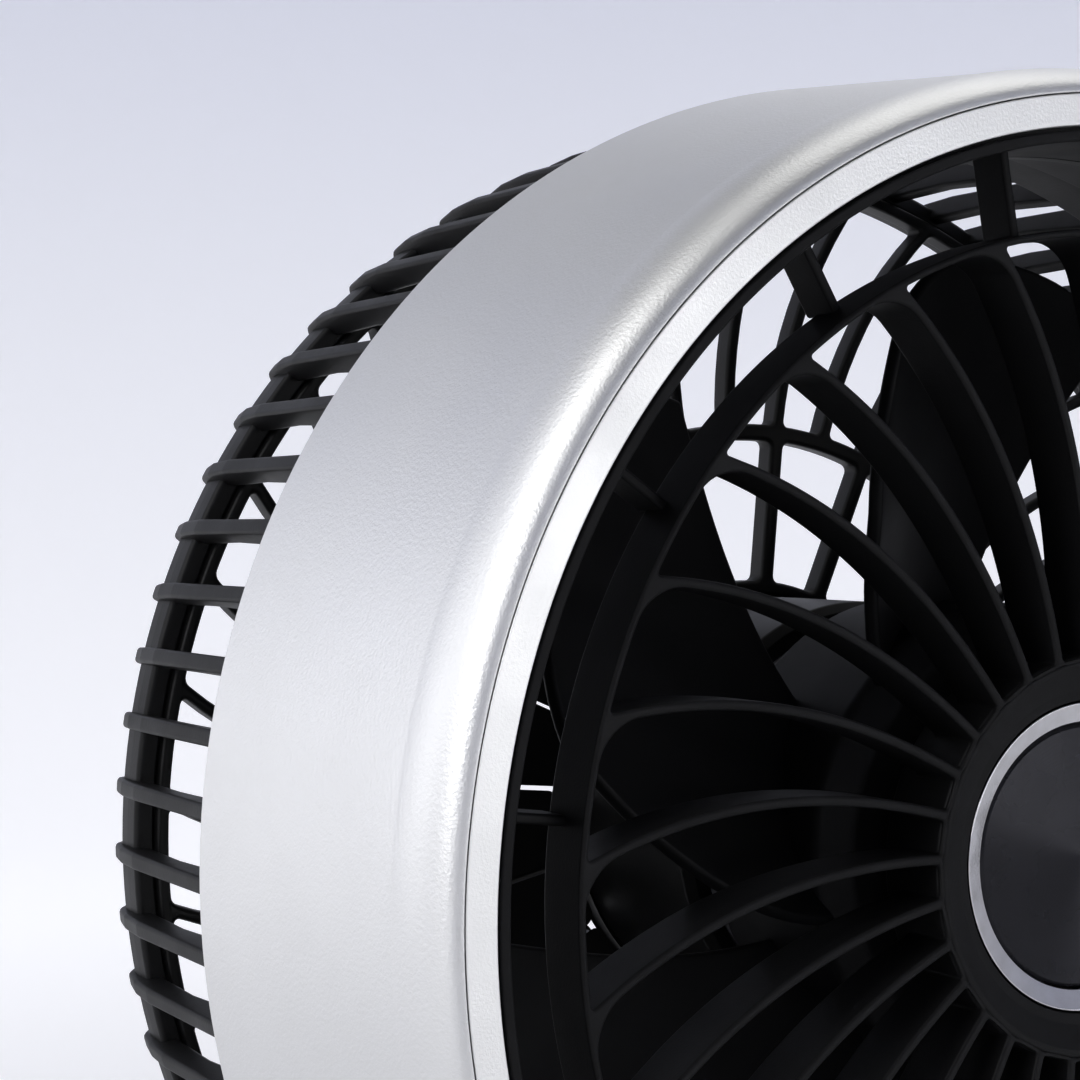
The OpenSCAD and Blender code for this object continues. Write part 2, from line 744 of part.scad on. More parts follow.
module base_shell() {
    edge_r = base_r - base_round;
    edge_z = base_h - base_round;
    round_in = base_round - base_wall;
    outside = [for (a = [0:11.25:90]) [edge_r + base_round * cos(a), edge_z + base_round * sin(a)]];
    inside = [for (a = [90:-11.25:0]) [edge_r + round_in * cos(a), edge_z + round_in * sin(a)]];
    color("silver") difference() {
        union() {
            rotate_extrude() polygon(concat(
                [[base_r, foot_t - 0.5]], outside, [[0, base_h], [0, base_h - base_wall]], inside,
                [[base_r - base_wall, foot_t - 0.5]]
            ));
            post_places() translate([0, 0, plate_top])
                cylinder(r = post_r, h = base_h - base_wall - plate_top + overlap);
        }
        post_places() translate([0, 0, plate_top - tiny]) cylinder(r = plate_screw_r + run_gap, h = 7);
        neck_screw_places() translate([0, 0, base_h - 3]) cylinder(r = neck_screw_r + fit_gap, h = 5);
        translate([0, button_y, base_h - 3]) cylinder(r = button_r + part_gap, h = 5);
        translate([-socket_w / 2 - fit_gap, 0, socket_z - socket_h / 2 - fit_gap])
            cube([socket_w + 2 * fit_gap, base_r + 1, socket_h + 2 * fit_gap]);
    }
}

module base_weight() {
    clear = board_len + 2;
    top = base_h - base_wall - 3;
    color([0.4, 0.4, 0.42]) difference() {
        translate([0, 0, plate_top]) cylinder(r = post_circle - post_r - 1, h = top - plate_top);
        translate([0, pivot_y, plate_top - 1]) cylinder(r = neck_screw_circle + 3.5, h = top);
        for (side = [-1, 1])
            translate([-socket_w - 6, side > 0 ? base_r - clear - 6 : -base_r, plate_top - 1])
                cube([2 * socket_w + 12, clear + 6, top]);
    }
}

module base_plate() {
    color([0.1, 0.1, 0.11]) difference() {
        translate([0, 0, foot_t]) cylinder(r = base_r - base_wall - fit_gap, h = plate_t);
        post_places() translate([0, 0, foot_t - 1]) cylinder(r = plate_screw_r + fit_gap, h = plate_t + 2);
        post_places() translate([0, 0, foot_t - 1]) cylinder(r = base_head_r + 0.2, h = 1 + plate_sink);
    }
}

module plate_screws() {
    color("dimgray") post_places() union() {
        translate([0, 0, foot_t + 0.2]) cylinder(r = base_head_r, h = plate_sink - 0.2);
        translate([0, 0, foot_t + plate_sink]) cylinder(r = plate_screw_r, h = plate_t - plate_sink + 6);
    }
}

module foot_ring() {
    color([0.08, 0.08, 0.08]) difference() {
        cylinder(r = foot_r, h = foot_t);
        translate([0, 0, -tiny]) cylinder(r = foot_r - foot_w, h = foot_t + 1);
    }
}

module board_at(y, top) {
    translate([-board_w / 2, y - board_len / 2, top - board_t]) cube([board_w, board_len, board_t]);
}

module control_board() {
    color("darkgreen") board_at(base_r - base_wall - 1.5 - board_len / 2 - 1, socket_z - socket_h / 2);
}

module usb_socket() {
    front = base_r - 0.4;
    color("silver") translate([0, front, socket_z]) rotate([90, 0, 0]) difference() {
        linear_extrude(socket_len) usb_outline(socket_w, socket_h);
        translate([0, 0, -tiny]) linear_extrude(socket_len - 1) usb_outline(socket_w - 0.6, socket_h - 0.6);
    }
}

module usb_outline(w, h) {
    for (side = [-1, 1]) translate([side * (w - h) / 2, 0]) circle(r = h / 2);
    square([w - h, h], center = true);
}

module switch_board() {
    color("darkgreen") board_at(button_y, switch_base);
}

module button_switch() {
    switch_w = 6;
    color([0.2, 0.2, 0.2]) translate([0, button_y, switch_base]) union() {
        translate([-switch_w / 2, -switch_w / 2, 0]) cube([switch_w, switch_w, switch_w / 2]);
        cylinder(r = 1.6, h = button_base - button_travel - 0.1 - switch_base);
    }
}

module power_button() {
    color("gainsboro") translate([0, button_y, button_base]) union() {
        cylinder(r = button_r + button_flange, h = button_flange_t);
        cylinder(r = button_r, h = base_h + button_proud - button_base);
    }
}

drum_shell();
front_bezel();
front_grille();
hub_trim_ring();
hub_cap();
grille_screws();
drum_liner();
impeller();
rotor_can();
magnet_ring();
motor_shaft();
shaft_clip();
stator_core();
stator_coils();
front_bearing();
rear_bearing();
motor_mount();
motor_board();
motor_screws();
motor_housing();
motor_cover();
rear_guard();
rear_basket();
basket_screws();
tilt_knuckle();
knuckle_screws();
tilt_pin();
pin_nut();
friction_washers();
neck();
neck_screws();
base_shell();
base_weight();
base_plate();
plate_screws();
foot_ring();
control_board();
usb_socket();
switch_board();
button_switch();
power_button();
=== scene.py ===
import math

import bmesh
import bpy
from mathutils import Matrix, Vector


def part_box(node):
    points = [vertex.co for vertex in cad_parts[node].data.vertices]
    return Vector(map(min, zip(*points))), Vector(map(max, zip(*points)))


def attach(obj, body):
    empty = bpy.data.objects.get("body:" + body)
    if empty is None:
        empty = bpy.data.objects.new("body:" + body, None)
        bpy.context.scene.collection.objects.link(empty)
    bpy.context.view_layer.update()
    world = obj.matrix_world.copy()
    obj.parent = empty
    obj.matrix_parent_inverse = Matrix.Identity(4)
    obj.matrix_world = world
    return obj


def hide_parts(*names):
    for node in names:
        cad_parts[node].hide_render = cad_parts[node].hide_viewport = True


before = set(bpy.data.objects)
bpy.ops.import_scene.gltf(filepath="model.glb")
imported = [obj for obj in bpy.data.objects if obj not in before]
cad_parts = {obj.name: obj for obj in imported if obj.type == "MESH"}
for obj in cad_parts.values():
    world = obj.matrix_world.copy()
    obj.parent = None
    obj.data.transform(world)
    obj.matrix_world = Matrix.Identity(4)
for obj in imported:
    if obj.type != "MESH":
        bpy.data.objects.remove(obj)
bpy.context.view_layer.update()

mm = 0.001

# The head's front plane and the fan's axis, from the drum
drumLow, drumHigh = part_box("drum_shell")
headFront = drumLow.y
headZ = (drumLow.z + drumHigh.z) / 2
headCentre = Vector((0, headFront, headZ))
seamR = 60


# ---- ways of making a shape ----

def pickOnly(*pieces):
    if bpy.context.mode != "OBJECT":
        bpy.ops.object.mode_set(mode="OBJECT")
    bpy.ops.object.select_all(action="DESELECT")
    for piece in pieces:
        piece.select_set(True)
    if pieces:
        bpy.context.view_layer.objects.active = pieces[0]


def named(piece, name):
    piece.name = name
    piece.data.name = name
    return piece


# Rounds the corners of an outline that give a third number, their radius
def softened(corners, closed=True, steps=5):
    outline = []
    last = len(corners) - 1
    for i, corner in enumerate(corners):
        here = Vector(corner[:2])
        radius = corner[2] if len(corner) > 2 else 0
        if not radius or (not closed and i in (0, last)):
            outline.append(here)
            continue
        back = Vector(corners[i - 1][:2]) - here
        ahead = Vector(corners[(i + 1) % (last + 1)][:2]) - here
        half = back.angle(ahead) / 2
        reach = min(radius / math.tan(half), 0.49 * back.length, 0.49 * ahead.length)
        hub = here + (back.normalized() + ahead.normalized()).normalized() * (reach / math.cos(half))
        start = here + back.normalized() * reach - hub
        end = here + ahead.normalized() * reach - hub
        turn = math.atan2(start.x * end.y - start.y * end.x, start.dot(end))
        for k in range(steps + 1):
            outline.append(hub + Matrix.Rotation(turn * k / steps, 2) @ start)
    return outline


# Spins a profile of radius and place along the axis; a profile that starts and ends on the axis stays open
def turned(name, profile, segments=256, centre=headCentre, axis=(0, 1, 0)):
    along = Vector(axis)
    across = Vector((0, 1, 0)) if along.x else Vector((1, 0, 0))
    onAxis = profile[0][0] == 0 and profile[-1][0] == 0
    places = [centre + (across * p[0] + along * p[1]) * mm for p in profile]
    pickOnly()
    bpy.ops.mesh.primitive_plane_add(size=mm)
    piece = named(bpy.context.active_object, name)
    bpy.ops.object.mode_set(mode="EDIT")
    bpy.ops.mesh.select_all(action="SELECT")
    bpy.ops.mesh.merge(type="CENTER")
    bpy.ops.transform.translate(value=places[0])
    for here, there in zip(places, places[1:]):
        bpy.ops.mesh.extrude_region_move(TRANSFORM_OT_translate={"value": there - here})
    if not onAxis:
        shape = bmesh.from_edit_mesh(piece.data)
        for vert in shape.verts:
            vert.select_set(len(vert.link_edges) == 1)
        shape.select_flush_mode()
        bmesh.update_edit_mesh(piece.data)
        bpy.ops.mesh.edge_face_add()
    bpy.ops.mesh.select_all(action="SELECT")
    bpy.ops.mesh.spin(steps=segments, angle=2 * math.pi, center=centre, axis=along)
    cleanUp(piece)
    return piece


def cleanUp(piece):
    pickOnly(piece)
    bpy.ops.object.mode_set(mode="EDIT")
    bpy.ops.mesh.select_all(action="SELECT")
    bpy.ops.mesh.remove_doubles(threshold=0.001 * mm)
    bpy.ops.mesh.normals_make_consistent(inside=False)
    bpy.ops.object.mode_set(mode="OBJECT")


facing = {  # from a drawn outline to its plane in the model
    "front": Matrix(((1, 0, 0, 0), (0, 0, -1, 0), (0, 1, 0, 0), (0, 0, 0, 1))),
    "radial": Matrix(((1, 0, 0, 0), (0, 1, 0, 0), (0, 0, 1, 0), (0, 0, 0, 1))),
    "side": Matrix(((0, 0, 1, 0), (1, 0, 0, 0), (0, 1, 0, 0), (0, 0, 0, 1))),
}


# Fills closed outlines, thickens them with rounded edges, and stands the plate with its middle at a place
def plate(name, outlines, thickness, edge, plane, middle, edgeSteps=2):
    curve = bpy.data.curves.new(name, "CURVE")
    curve.dimensions = "2D"
    curve.fill_mode = "BOTH"
    curve.extrude = (thickness / 2 - edge) * mm
    curve.bevel_depth = edge * mm
    curve.bevel_resolution = edgeSteps
    curve.offset = -edge * mm
    for outline in outlines:
        spline = curve.splines.new("POLY")
        spline.points.add(len(outline) - 1)
        for point, place in zip(spline.points, outline):
            point.co = (place[0] * mm, place[1] * mm, 0, 1)
        spline.use_cyclic_u = True
    piece = bpy.data.objects.new(name, curve)
    bpy.context.scene.collection.objects.link(piece)
    pickOnly(piece)
    bpy.ops.object.convert(target="MESH")
    piece = named(bpy.context.active_object, name)
    piece.data.transform(Matrix.Translation(middle) @ facing[plane])
    cleanUp(piece)
    return piece


def circleOf(radius, count, centre=(0, 0)):
    return [(centre[0] + radius * math.cos(2 * math.pi * i / count),
             centre[1] + radius * math.sin(2 * math.pi * i / count)) for i in range(count)]


def polar(radius, degrees):
    return Vector((radius * math.cos(math.radians(degrees)), radius * math.sin(math.radians(degrees))))


# Copies of a piece round the fan's axis, each with its own mesh
def around(piece, angles):
    copies = []
    for angle in angles:
        other = piece.copy()
        other.data = piece.data.copy()
        bpy.context.scene.collection.objects.link(other)
        turn = Matrix.Rotation(-math.radians(angle), 4, "Y")
        other.data.transform(Matrix.Translation(headCentre) @ turn @ Matrix.Translation(-headCentre))
        copies.append(other)
    bpy.data.objects.remove(piece)
    return copies


def joined(name, *pieces):
    pickOnly(*pieces)
    bpy.ops.object.join()
    return named(bpy.context.active_object, name)


def block(name, low, high, edge, steps=3):
    pickOnly()
    bpy.ops.mesh.primitive_cube_add(size=1, location=(Vector(low) + Vector(high)) / 2)
    piece = named(bpy.context.active_object, name)
    piece.scale = Vector(high) - Vector(low)
    bpy.ops.object.transform_apply(location=True, rotation=True, scale=True)
    modified(piece, "BEVEL", width=edge * mm, segments=steps)
    return piece


def modified(piece, kind, **settings):
    pickOnly(piece)
    modifier = piece.modifiers.new(kind, kind)
    for key, value in settings.items():
        setattr(modifier, key, value)
    bpy.ops.object.modifier_apply(modifier=modifier.name)
    return piece


# Cuts one piece out of another and throws the cutter away
def cutOut(piece, cutter):
    modified(piece, "BOOLEAN", operation="DIFFERENCE", solver="EXACT", object=cutter)
    bpy.data.objects.remove(cutter)
    return piece


# Shades a finished piece, gives it its finish, and hangs it on its body in place of its CAD nodes
def finished(piece, body, slot, material, *nodes, angle=35):
    pickOnly(piece)
    bpy.ops.object.shade_smooth_by_angle(angle=math.radians(angle))
    modified(piece, "WEIGHTED_NORMAL", keep_sharp=True)
    piece.data.materials.clear()
    piece.data.materials.append(material)
    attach(piece, body)
    if nodes:
        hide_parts(*nodes)
    return piece


# ---- ways of making a finish ----

def linear(hexColour):
    parts = [int(hexColour[i:i + 2], 16) / 255 for i in (1, 3, 5)]
    return tuple(c / 12.92 if c <= 0.04045 else ((c + 0.055) / 1.055) ** 2.4 for c in parts) + (1,)


def addNode(tree, kind, settings=None, values=None, links=None):
    node = tree.nodes.new(kind)
    for key, value in (settings or {}).items():
        setattr(node, key, value)
    for key, value in (values or {}).items():
        node.inputs[key].default_value = value
    for key, socket in (links or {}).items():
        tree.links.new(socket, node.inputs[key])
    return node


# A finish with a fine grain in the surface and slow changes of shade and gloss; sizes in millimetres
def surface(name, look):
    material = bpy.data.materials.new(name)
    material.use_nodes = True
    tree = material.node_tree
    tree.nodes.clear()
    place = addNode(tree, "ShaderNodeTexCoord").outputs["Object"]
    cloud = addNode(tree, "ShaderNodeTexNoise", values={
        "Scale": 1 / (look["patch"] * mm), "Detail": 3, "Roughness": 0.55}, links={"Vector": place})
    colour = addNode(tree, "ShaderNodeMix", {"data_type": "RGBA"}, {
        6: linear(look["colour"]), 7: linear(look["shade"])}, {0: cloud.outputs["Fac"]})
    gloss = addNode(tree, "ShaderNodeMapRange", values={
        "From Min": 0.3, "From Max": 0.7,
        "To Min": look["rough"][0], "To Max": look["rough"][1]}, links={"Value": cloud.outputs["Fac"]})
    grain = addNode(tree, "ShaderNodeTexNoise", values={
        "Scale": 1 / (look["grain"] * mm), "Detail": 2, "Roughness": 0.6}, links={"Vector": place})
    relief = addNode(tree, "ShaderNodeBump", values={
        "Strength": look.get("strength", 1), "Distance": look["relief"] * mm},
        links={"Height": grain.outputs["Fac"]})
    shader = addNode(tree, "ShaderNodeBsdfPrincipled", values={
        "Metallic": look.get("metallic", 0), **look.get("sockets", {})}, links={
        "Base Color": colour.outputs[2], "Roughness": gloss.outputs["Result"],
        "Normal": relief.outputs["Normal"]})
    addNode(tree, "ShaderNodeOutputMaterial", links={"Surface": shader.outputs["BSDF"]})
    return material


# ---- camera ----

cameraLook = {"eye": (-2.23806, -2.30359, 0.45543), "ahead": (0.5007, 0.8656, -0.0103), "lens": 80}
bpy.ops.object.camera_add(location=headCentre + Vector(cameraLook["eye"]) * seamR * mm,
                          rotation=Vector(cameraLook["ahead"]).to_track_quat("-Z", "Y").to_euler())
camera = bpy.context.active_object
camera.data.lens = cameraLook["lens"]
camera.data.sensor_width = 36
camera.data.clip_start = 0.005
bpy.context.scene.camera = camera
bpy.context.scene.view_settings.view_transform = "Standard"
print("camera placed")


# ---- drum and bezel ----

# Blasted and anodised aluminium: a soft wide sheen broken by a grain like fine frost
blastedAluminium = surface("blastedAluminium", {
    "colour": "#E0E0DF", "shade": "#D9D9D8", "metallic": 1, "rough": (0.42, 0.48),
    "patch": 14, "grain": 0.3, "relief": 0.034})
# The same metal cut flat in front: paler and a little coarser
bezelAluminium = surface("bezelAluminium", {
    "colour": "#EEEEEC", "shade": "#E8E8E6", "metallic": 1, "rough": (0.42, 0.48),
    "patch": 9, "grain": 0.24, "relief": 0.02})

drum = {"rise": 2.6, "shoulder": 6, "rearR": 65.4, "length": 33, "wall": 1.6, "lip": 2.2, "steps": 22}
shoulder = []
for i in range(drum["steps"] + 1):
    a = math.pi / 2 * i / drum["steps"]
    shoulder.append((seamR + drum["rise"] * math.sin(a), drum["shoulder"] * (1 - math.cos(a))))
shoulder[0] = (seamR + 0.02, 0, 0.1)
drumSkin = turned("drumSkin", softened(shoulder + [
    (drum["rearR"], drum["length"], 0.35),
    (drum["rearR"] - drum["wall"], drum["length"], 0.35),
    (seamR + drum["rise"] - drum["wall"], drum["shoulder"], 1),
    (seamR, drum["lip"], 0.2)]), 360)
finished(drumSkin, "head", "blasted_aluminium", blastedAluminium, "drum_shell")

bezel = {"inR": 57.5, "outR": 59.92, "face": 1.2, "skirt": 3.4, "skirtR": 58.75}
bezelRing = turned("bezelRing", softened([
    (bezel["inR"], 0, 0.14), (bezel["outR"], 0, 0.1), (bezel["outR"], bezel["skirt"]),
    (bezel["skirtR"], bezel["skirt"]), (bezel["skirtR"], bezel["face"]),
    (bezel["inR"], bezel["face"], 0.1)]), 360)
finished(bezelRing, "head", "bezel_aluminium", bezelAluminium, "front_bezel")
print("drum and bezel done")


# ---- front grille ----

# Moulded ABS with a fine spark texture: near black, edges catch a soft grey light
grilleAbs = surface("grilleAbs", {
    "colour": "#0E0E0F", "shade": "#0B0B0C", "rough": (0.48, 0.58),
    "patch": 8, "grain": 0.2, "relief": 0.014, "sockets": {"Specular IOR Level": 0.14}})

grille = {
    "rimIn": 56.3, "rimOut": 57.2, "rimFront": 0.3, "rimDepth": 10,
    "ringOut": 49.8, "ringIn": 49.2, "ringFront": 2.4, "depth": 5, "edge": 0.27,
    "spokes": 30, "phase": 104.4, "sweep": 11.85, "spokeT": 0.8, "fillet": 2.6, "small": 0.35,
    "ribs": 15, "ribCrowding": 4.9, "ribFront": 5, "ribDepth": 3.6,
    "collarR": 16.2, "collarFront": 4.9,
}


def spokeLag(r):
    part = max(0, r - grille["collarR"]) / (grille["ringIn"] - grille["collarR"])
    return grille["sweep"] * (1 - part ** 1.5)


def spokeSide(r, angle, side, extra=0):
    half = grille["spokeT"] / 2 + extra
    return polar(r, angle - spokeLag(r) + side * math.degrees(math.asin(half / r)))


# One opening between two spokes, wide round corner on one side of the ring and tight corners elsewhere
def spokeOpening(angle):
    pitch = 360 / grille["spokes"]
    fillet, inner, outer = grille["fillet"], grille["collarR"] - 0.05, grille["ringIn"]
    stations = [inner + (outer - fillet - inner) * i / 26 for i in range(27)]
    loop = [(*spokeSide(r, angle, 1), 0) for r in stations]
    for i in range(1, 9):
        a = math.pi / 2 * i / 8
        r = outer - fillet + fillet * math.sin(a)
        loop.append((*spokeSide(r, angle, 1, fillet * (1 - math.cos(a))), 0))
    first = math.degrees(math.atan2(loop[-1][1], loop[-1][0])) % 360
    final = spokeSide(outer, angle + pitch, -1)
    span = (math.degrees(math.atan2(final.y, final.x)) - first) % 360
    loop += [(*polar(outer, first + span * i / 10), 0) for i in range(1, 10)]
    loop.append((*final, grille["small"]))
    loop += [(*spokeSide(r, angle + pitch, -1), 0) for r in stations[:0:-1]]
    loop.append((*spokeSide(inner, angle + pitch, -1), grille["small"]))
    loop[0] = (*loop[0][:2], grille["small"])
    return softened(loop, steps=4)[::-1]


openings = [spokeOpening(grille["phase"] + i * 360 / grille["spokes"]) for i in range(grille["spokes"])]
middle = headCentre + Vector((0, (grille["ringFront"] + grille["depth"] / 2) * mm, 0))
spokePlate = plate("spokePlate", [circleOf(grille["ringOut"], 360), circleOf(15.8, 120)[::-1]] + openings,
                   grille["depth"], grille["edge"], "front", middle)
slope = (grille["collarFront"] - grille["ringFront"]) / (grille["ringIn"] - grille["collarR"])
for vert in spokePlate.data.vertices:  # the spokes run back towards the hub
    r = math.hypot(vert.co.x, vert.co.z - headZ) / mm
    vert.co.y += max(0, grille["ringIn"] - r) * slope * mm

rim = turned("rim", softened([
    (grille["rimIn"], grille["rimFront"], 0.25), (grille["rimOut"], grille["rimFront"], 0.2),
    (grille["rimOut"], 1.2), (58.4, 1.2), (58.4, 2.6), (57.3, 2.6),
    (57.3, grille["rimDepth"], 0.2), (grille["rimIn"], grille["rimDepth"], 0.2)]), 360)
collar = turned("collar", softened([
    (0, 8.6), (12.55, 8.6, 0.1), (12.55, 6.05, 0.12), (13.4, 5.85, 1), (15.3, 5.0, 0.4), (15.75, 4.9, 0.3),
    (16.2, 5.35, 0.4), (16.2, 11.8, 0.4), (14.4, 11.8, 0.4), (14.4, 10.2, 0.3), (0, 10.2)],
    closed=False), 200)

ribFront = headFront + grille["ribFront"] * mm
ribHalf = grille["spokeT"] / 2 * mm
rib = block("rib", (49.5 * mm, ribFront, headZ - ribHalf),
            (56.6 * mm, ribFront + grille["ribDepth"] * mm, headZ + ribHalf), 0.26)
ribAngles = []
for i in range(grille["ribs"]):
    even = (i + 0.5) * 360 / grille["ribs"]
    ribAngles.append(90 + even - grille["ribCrowding"] * math.sin(math.radians(2 * even)))
frontGrille = joined("frontGrille", spokePlate, rim, collar, *around(rib, ribAngles))
finished(frontGrille, "head", "grille_abs", grilleAbs, "front_grille")
print("front grille done")


# ---- hub trim and cap ----

# Aluminium cut with a polished bevel: a narrow bright line with small stains
polishedAluminium = surface("polishedAluminium", {
    "colour": "#D9D9DC", "shade": "#B9B7B8", "metallic": 1, "rough": (0.06, 0.15),
    "patch": 1.6, "grain": 0.3, "relief": 0.004})
trimRing = turned("trimRing", softened([
    (12.4, 6.0, 0.1), (10.75, 6.65, 0.12), (10.75, 8.55), (12.4, 8.55)]), 200)
finished(trimRing, "head", "polished_aluminium", polishedAluminium, "hub_trim_ring")


# Spun aluminium, dark anodised: fine rings round the axis that throw light out in a fan
def spunAluminium(name, look):
    material = surface(name, look)
    tree = material.node_tree
    place = addNode(tree, "ShaderNodeTexCoord").outputs["Object"]
    centred = addNode(tree, "ShaderNodeMapping", values={"Location": -headCentre}, links={"Vector": place})
    rings = addNode(tree, "ShaderNodeTexWave", {"wave_type": "RINGS", "rings_direction": "Y"}, {
        "Scale": math.pi / 10 / (look["ringGap"] * mm), "Distortion": 0.4, "Detail": 2},
        {"Vector": centred.outputs["Vector"]})
    relief = addNode(tree, "ShaderNodeBump", values={"Strength": 1, "Distance": look["ringDepth"] * mm},
                     links={"Height": rings.outputs["Fac"]})
    across = addNode(tree, "ShaderNodeTangent", {"direction_type": "RADIAL", "axis": "Y"})
    shader = next(n for n in tree.nodes if n.type == "BSDF_PRINCIPLED")
    tree.links.new(relief.outputs["Normal"], shader.inputs["Normal"])
    tree.links.new(across.outputs["Tangent"], shader.inputs["Tangent"])
    return material


spunCap = spunAluminium("spunAluminium", {
    "colour": "#303033", "shade": "#2A2A2D", "metallic": 1, "rough": (0.24, 0.3),
    "patch": 6, "grain": 0.3, "relief": 0.004, "ringGap": 0.3, "ringDepth": 0.0015,
    "sockets": {"Anisotropic": 0.9, "Anisotropic Rotation": 0.25}})
capDisc = turned("capDisc", softened([
    (0, 6.75), (10.3, 6.75, 0.15), (10.62, 7.05, 0.1), (10.62, 8.55), (0, 8.55)], closed=False), 200)
finished(capDisc, "head", "spun_aluminium", spunCap, "hub_cap")
print("hub done")


# ---- liner and impeller ----

# Unlit inner moulding: plain black ABS, a little glossier than the grille
innerAbs = surface("innerAbs", {
    "colour": "#0B0B0C", "shade": "#090909", "rough": (0.42, 0.52), "patch": 12, "grain": 0.3, "relief": 0.01,
    "sockets": {"Specular IOR Level": 0.2}})
# Satin moulded blades: dark grey with a soft sheen along the twist
impellerAbs = surface("impellerAbs", {
    "colour": "#111112", "shade": "#0E0E0F", "rough": (0.46, 0.56),
    "patch": 10, "grain": 0.3, "relief": 0.006,
    "sockets": {"Specular IOR Level": 0.12}})

drumLiner = turned("drumLiner", softened([
    (56.3, 10.02, 0.15), (60.9, 10.02), (60.9, 25.5, 0.3), (62.9, 25.5, 0.1), (62.9, 27, 0.1),
    (59.9, 27, 0.3), (59.9, 11.5, 0.4), (56.3, 11.5, 0.15)]), 256)
finished(drumLiner, "head", "inner_abs", innerAbs, "drum_liner")

impeller = {
    "blades": 6, "hubR": 20, "tipR": 48.9, "front": 12, "depth": 13, "bladeT": 1.2,
    "tipPhase": 165, "rootLead": 30, "tipPitch": 39, "rootPitch": 52, "rows": 20, "columns": 26,
}


def bladePlace(share, t):
    rootR = impeller["hubR"] - 0.8
    r = rootR + (impeller["tipR"] - rootR) * share
    r -= 3.2 * abs(2 * t - 1) ** 5 * share * share
    part = (r - impeller["hubR"]) / (impeller["tipR"] - impeller["hubR"])
    edge = impeller["tipPhase"] + impeller["rootLead"] * (1 - part) ** 1.15
    span = impeller["rootPitch"] + (impeller["tipPitch"] - impeller["rootPitch"]) * part
    root = max(0, 1 - part * 2.5)
    thick = impeller["bladeT"]
    d = impeller["front"] + thick / 2 + (impeller["depth"] - thick) * (t + 0.1 * math.sin(math.pi * t))
    flat = polar(r, edge - t * span)
    return headCentre + Vector((flat.x, d + root * 2.6 * (1 - t), flat.y)) * mm


pickOnly()
bpy.ops.mesh.primitive_grid_add(x_subdivisions=impeller["rows"], y_subdivisions=impeller["columns"], size=1)
blade = named(bpy.context.active_object, "blade")
for vert in blade.data.vertices:
    vert.co = bladePlace(vert.co.x + 0.5, vert.co.y + 0.5)
modified(blade, "SOLIDIFY", thickness=impeller["bladeT"] * mm, offset=0, use_even_offset=True)
modified(blade, "BEVEL", width=0.4 * mm, segments=3, limit_method="ANGLE", angle_limit=math.radians(50))
cleanUp(blade)
hub = turned("hub", softened([
    (1.52, 12.8), (3.5, 12.8, 0.3), (4, 14, 0.4), (17.6, 14, 1.2), (20, 16, 1.6), (20, 30, 0.2),
    (18.5, 30, 0.2), (18.5, 16.6, 0.4), (1.52, 16.6)]), 160)
step = 360 / impeller["blades"]
fanWheel = joined("fanWheel", hub, *around(blade, [i * step for i in range(impeller["blades"])]))
finished(fanWheel, "rotor", "impeller_abs", impellerAbs, "impeller")
print("liner and impeller done")


# ---- rear guard, basket and motor cup ----

guard = {
    "front": 52.8, "depth": 2.4, "edge": 0.45, "rimOut": 61.0, "rimIn": 59.9, "ringOut": 36.2, "ringIn": 34.6,
    "hubOut": 21, "hubIn": 19.6, "bars": 40, "barT": 1.2, "sweep": 7, "phase": 84.9, "innerT": 1.5,
    "corner": 0.9,
}


def guardLag(r):
    part = max(0, r - (guard["ringIn"] + guard["ringOut"]) / 2) / (guard["rimIn"] - 35.4)
    return guard["sweep"] * part ** 1.7


def guardOpening(angle, pitch, inner, outer, half, corner):
    def side(r, a, sign):
        return polar(r, a - guardLag(r) + sign * math.degrees(math.asin(half / r)))
    stations = [inner + (outer - inner) * i / 10 for i in range(11)]
    loop = [(*side(r, angle, 1), 0) for r in stations]
    loop += [(*side(r, angle + pitch, -1), 0) for r in stations[::-1]]
    first, final = loop[10], loop[11]
    arc = []
    span = math.degrees(Vector(first[:2]).angle(Vector(final[:2])))
    start = math.degrees(math.atan2(first[1], first[0]))
    for i in range(1, 6):
        arc.append((*polar(outer, start + span * i / 6), 0))
    first, final = loop[0], loop[-1]
    span = math.degrees(Vector(first[:2]).angle(Vector(final[:2])))
    start = math.degrees(math.atan2(first[1], first[0]))
    inArc = [(*polar(inner, start + span * i / 4), 0) for i in (3, 2, 1)]
    for i in (0, 10, 11, 21):
        loop[i] = (*loop[i][:2], corner)
    return softened(loop[:11] + arc + loop[11:] + inArc, steps=4)[::-1]


openings = []
for bars, inner, outer, barT in ((guard["bars"], guard["ringOut"], guard["rimIn"], guard["barT"]),
                                 (guard["bars"] // 2, guard["hubOut"], guard["ringIn"], guard["innerT"])):
    pitch = 360 / bars
    for i in range(bars):
        angle = guard["phase"] + i * pitch
        openings.append(guardOpening(angle, pitch, inner, outer, barT / 2, guard["corner"]))
middle = headCentre + Vector((0, (guard["front"] + guard["depth"] / 2) * mm, 0))
guardPlate = plate("guardPlate", [circleOf(60.6, 360), circleOf(guard["hubIn"], 160)[::-1]] + openings,
                   guard["depth"], guard["edge"], "front", middle)
guardRim = turned("guardRim", softened([
    (59.95, 52.8, 0.3), (61, 52.8, 0.3), (61, 56.2, 0.3), (59.95, 56.2, 0.4)]), 256)
rearGuard = joined("rearGuard", guardPlate, guardRim)
finished(rearGuard, "head", "inner_abs", innerAbs, "rear_guard")

